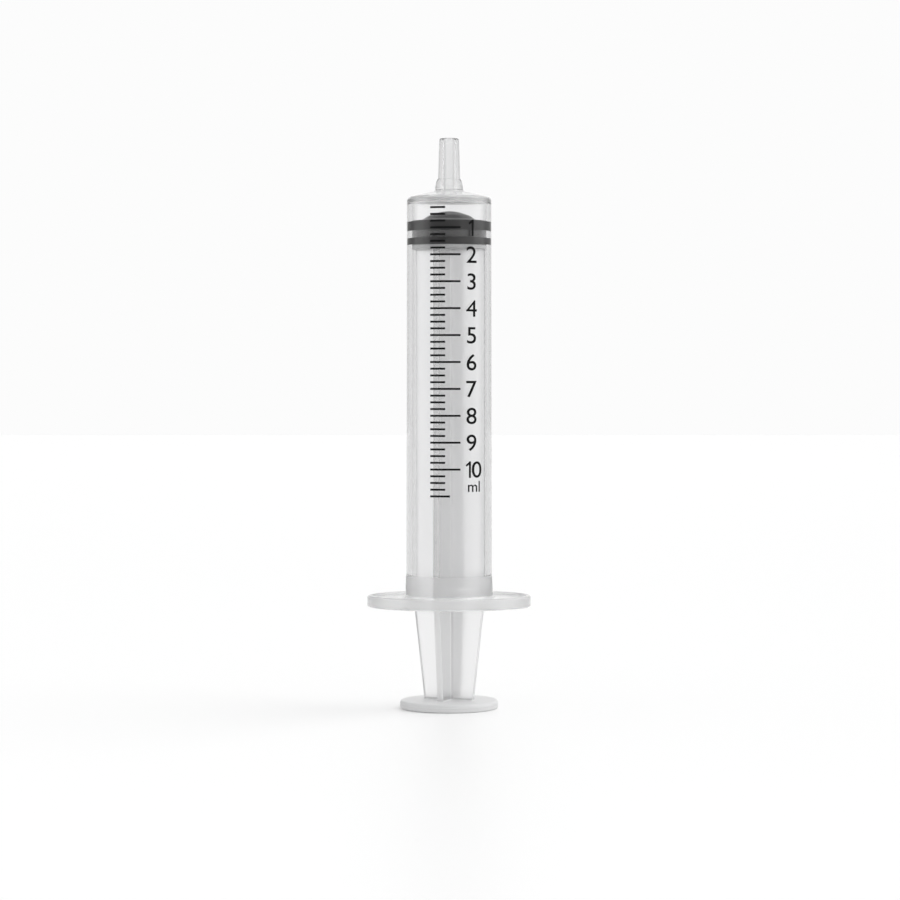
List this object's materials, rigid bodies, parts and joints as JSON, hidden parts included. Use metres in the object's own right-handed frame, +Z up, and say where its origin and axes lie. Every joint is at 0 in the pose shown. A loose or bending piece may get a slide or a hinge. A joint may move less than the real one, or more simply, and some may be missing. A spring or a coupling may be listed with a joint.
{
  "type": "luer slip syringe",
  "caption": "Clear plastic syringe: graduated barrel with a slip nozzle and an oval finger flange, black rubber stopper, and ribbed plunger rod with a thumb rest.",
  "frame": {"origin": "centre of the thumb rest's underside, on the surface that the syringe stands on", "axes": "+Z up along the syringe's axis, from the thumb rest to the nozzle; -Y is the side that carries the scale"},
  "size_m": [0.0334, 0.027, 0.1161],
  "materials": {
    "barrel_plastic": "clear polypropylene, glossy",
    "rod_plastic": "natural polypropylene, slightly milky",
    "stopper_rubber": "black rubber with a film of silicone",
    "scale_ink": "black printed ink"
  },
  "bodies": {
    "plunger_rod": {"plunger_rod": "rod_plastic"},
    "stopper": {"stopper": "stopper_rubber"},
    "barrel": {"barrel": "barrel_plastic"}
  },
  "joints": [
    {"name": "rod_spin", "type": "hinge", "parent": "plunger_rod", "child": "stopper", "pos_m": [0, 0, 0.0943], "axis": [0, 0, 1], "continuous": true},
    {"name": "barrel_slide", "type": "slide", "parent": "stopper", "child": "barrel", "axis": [0, 0, 1], "range_m": [-0.00365, 0.0685]}
  ]
}
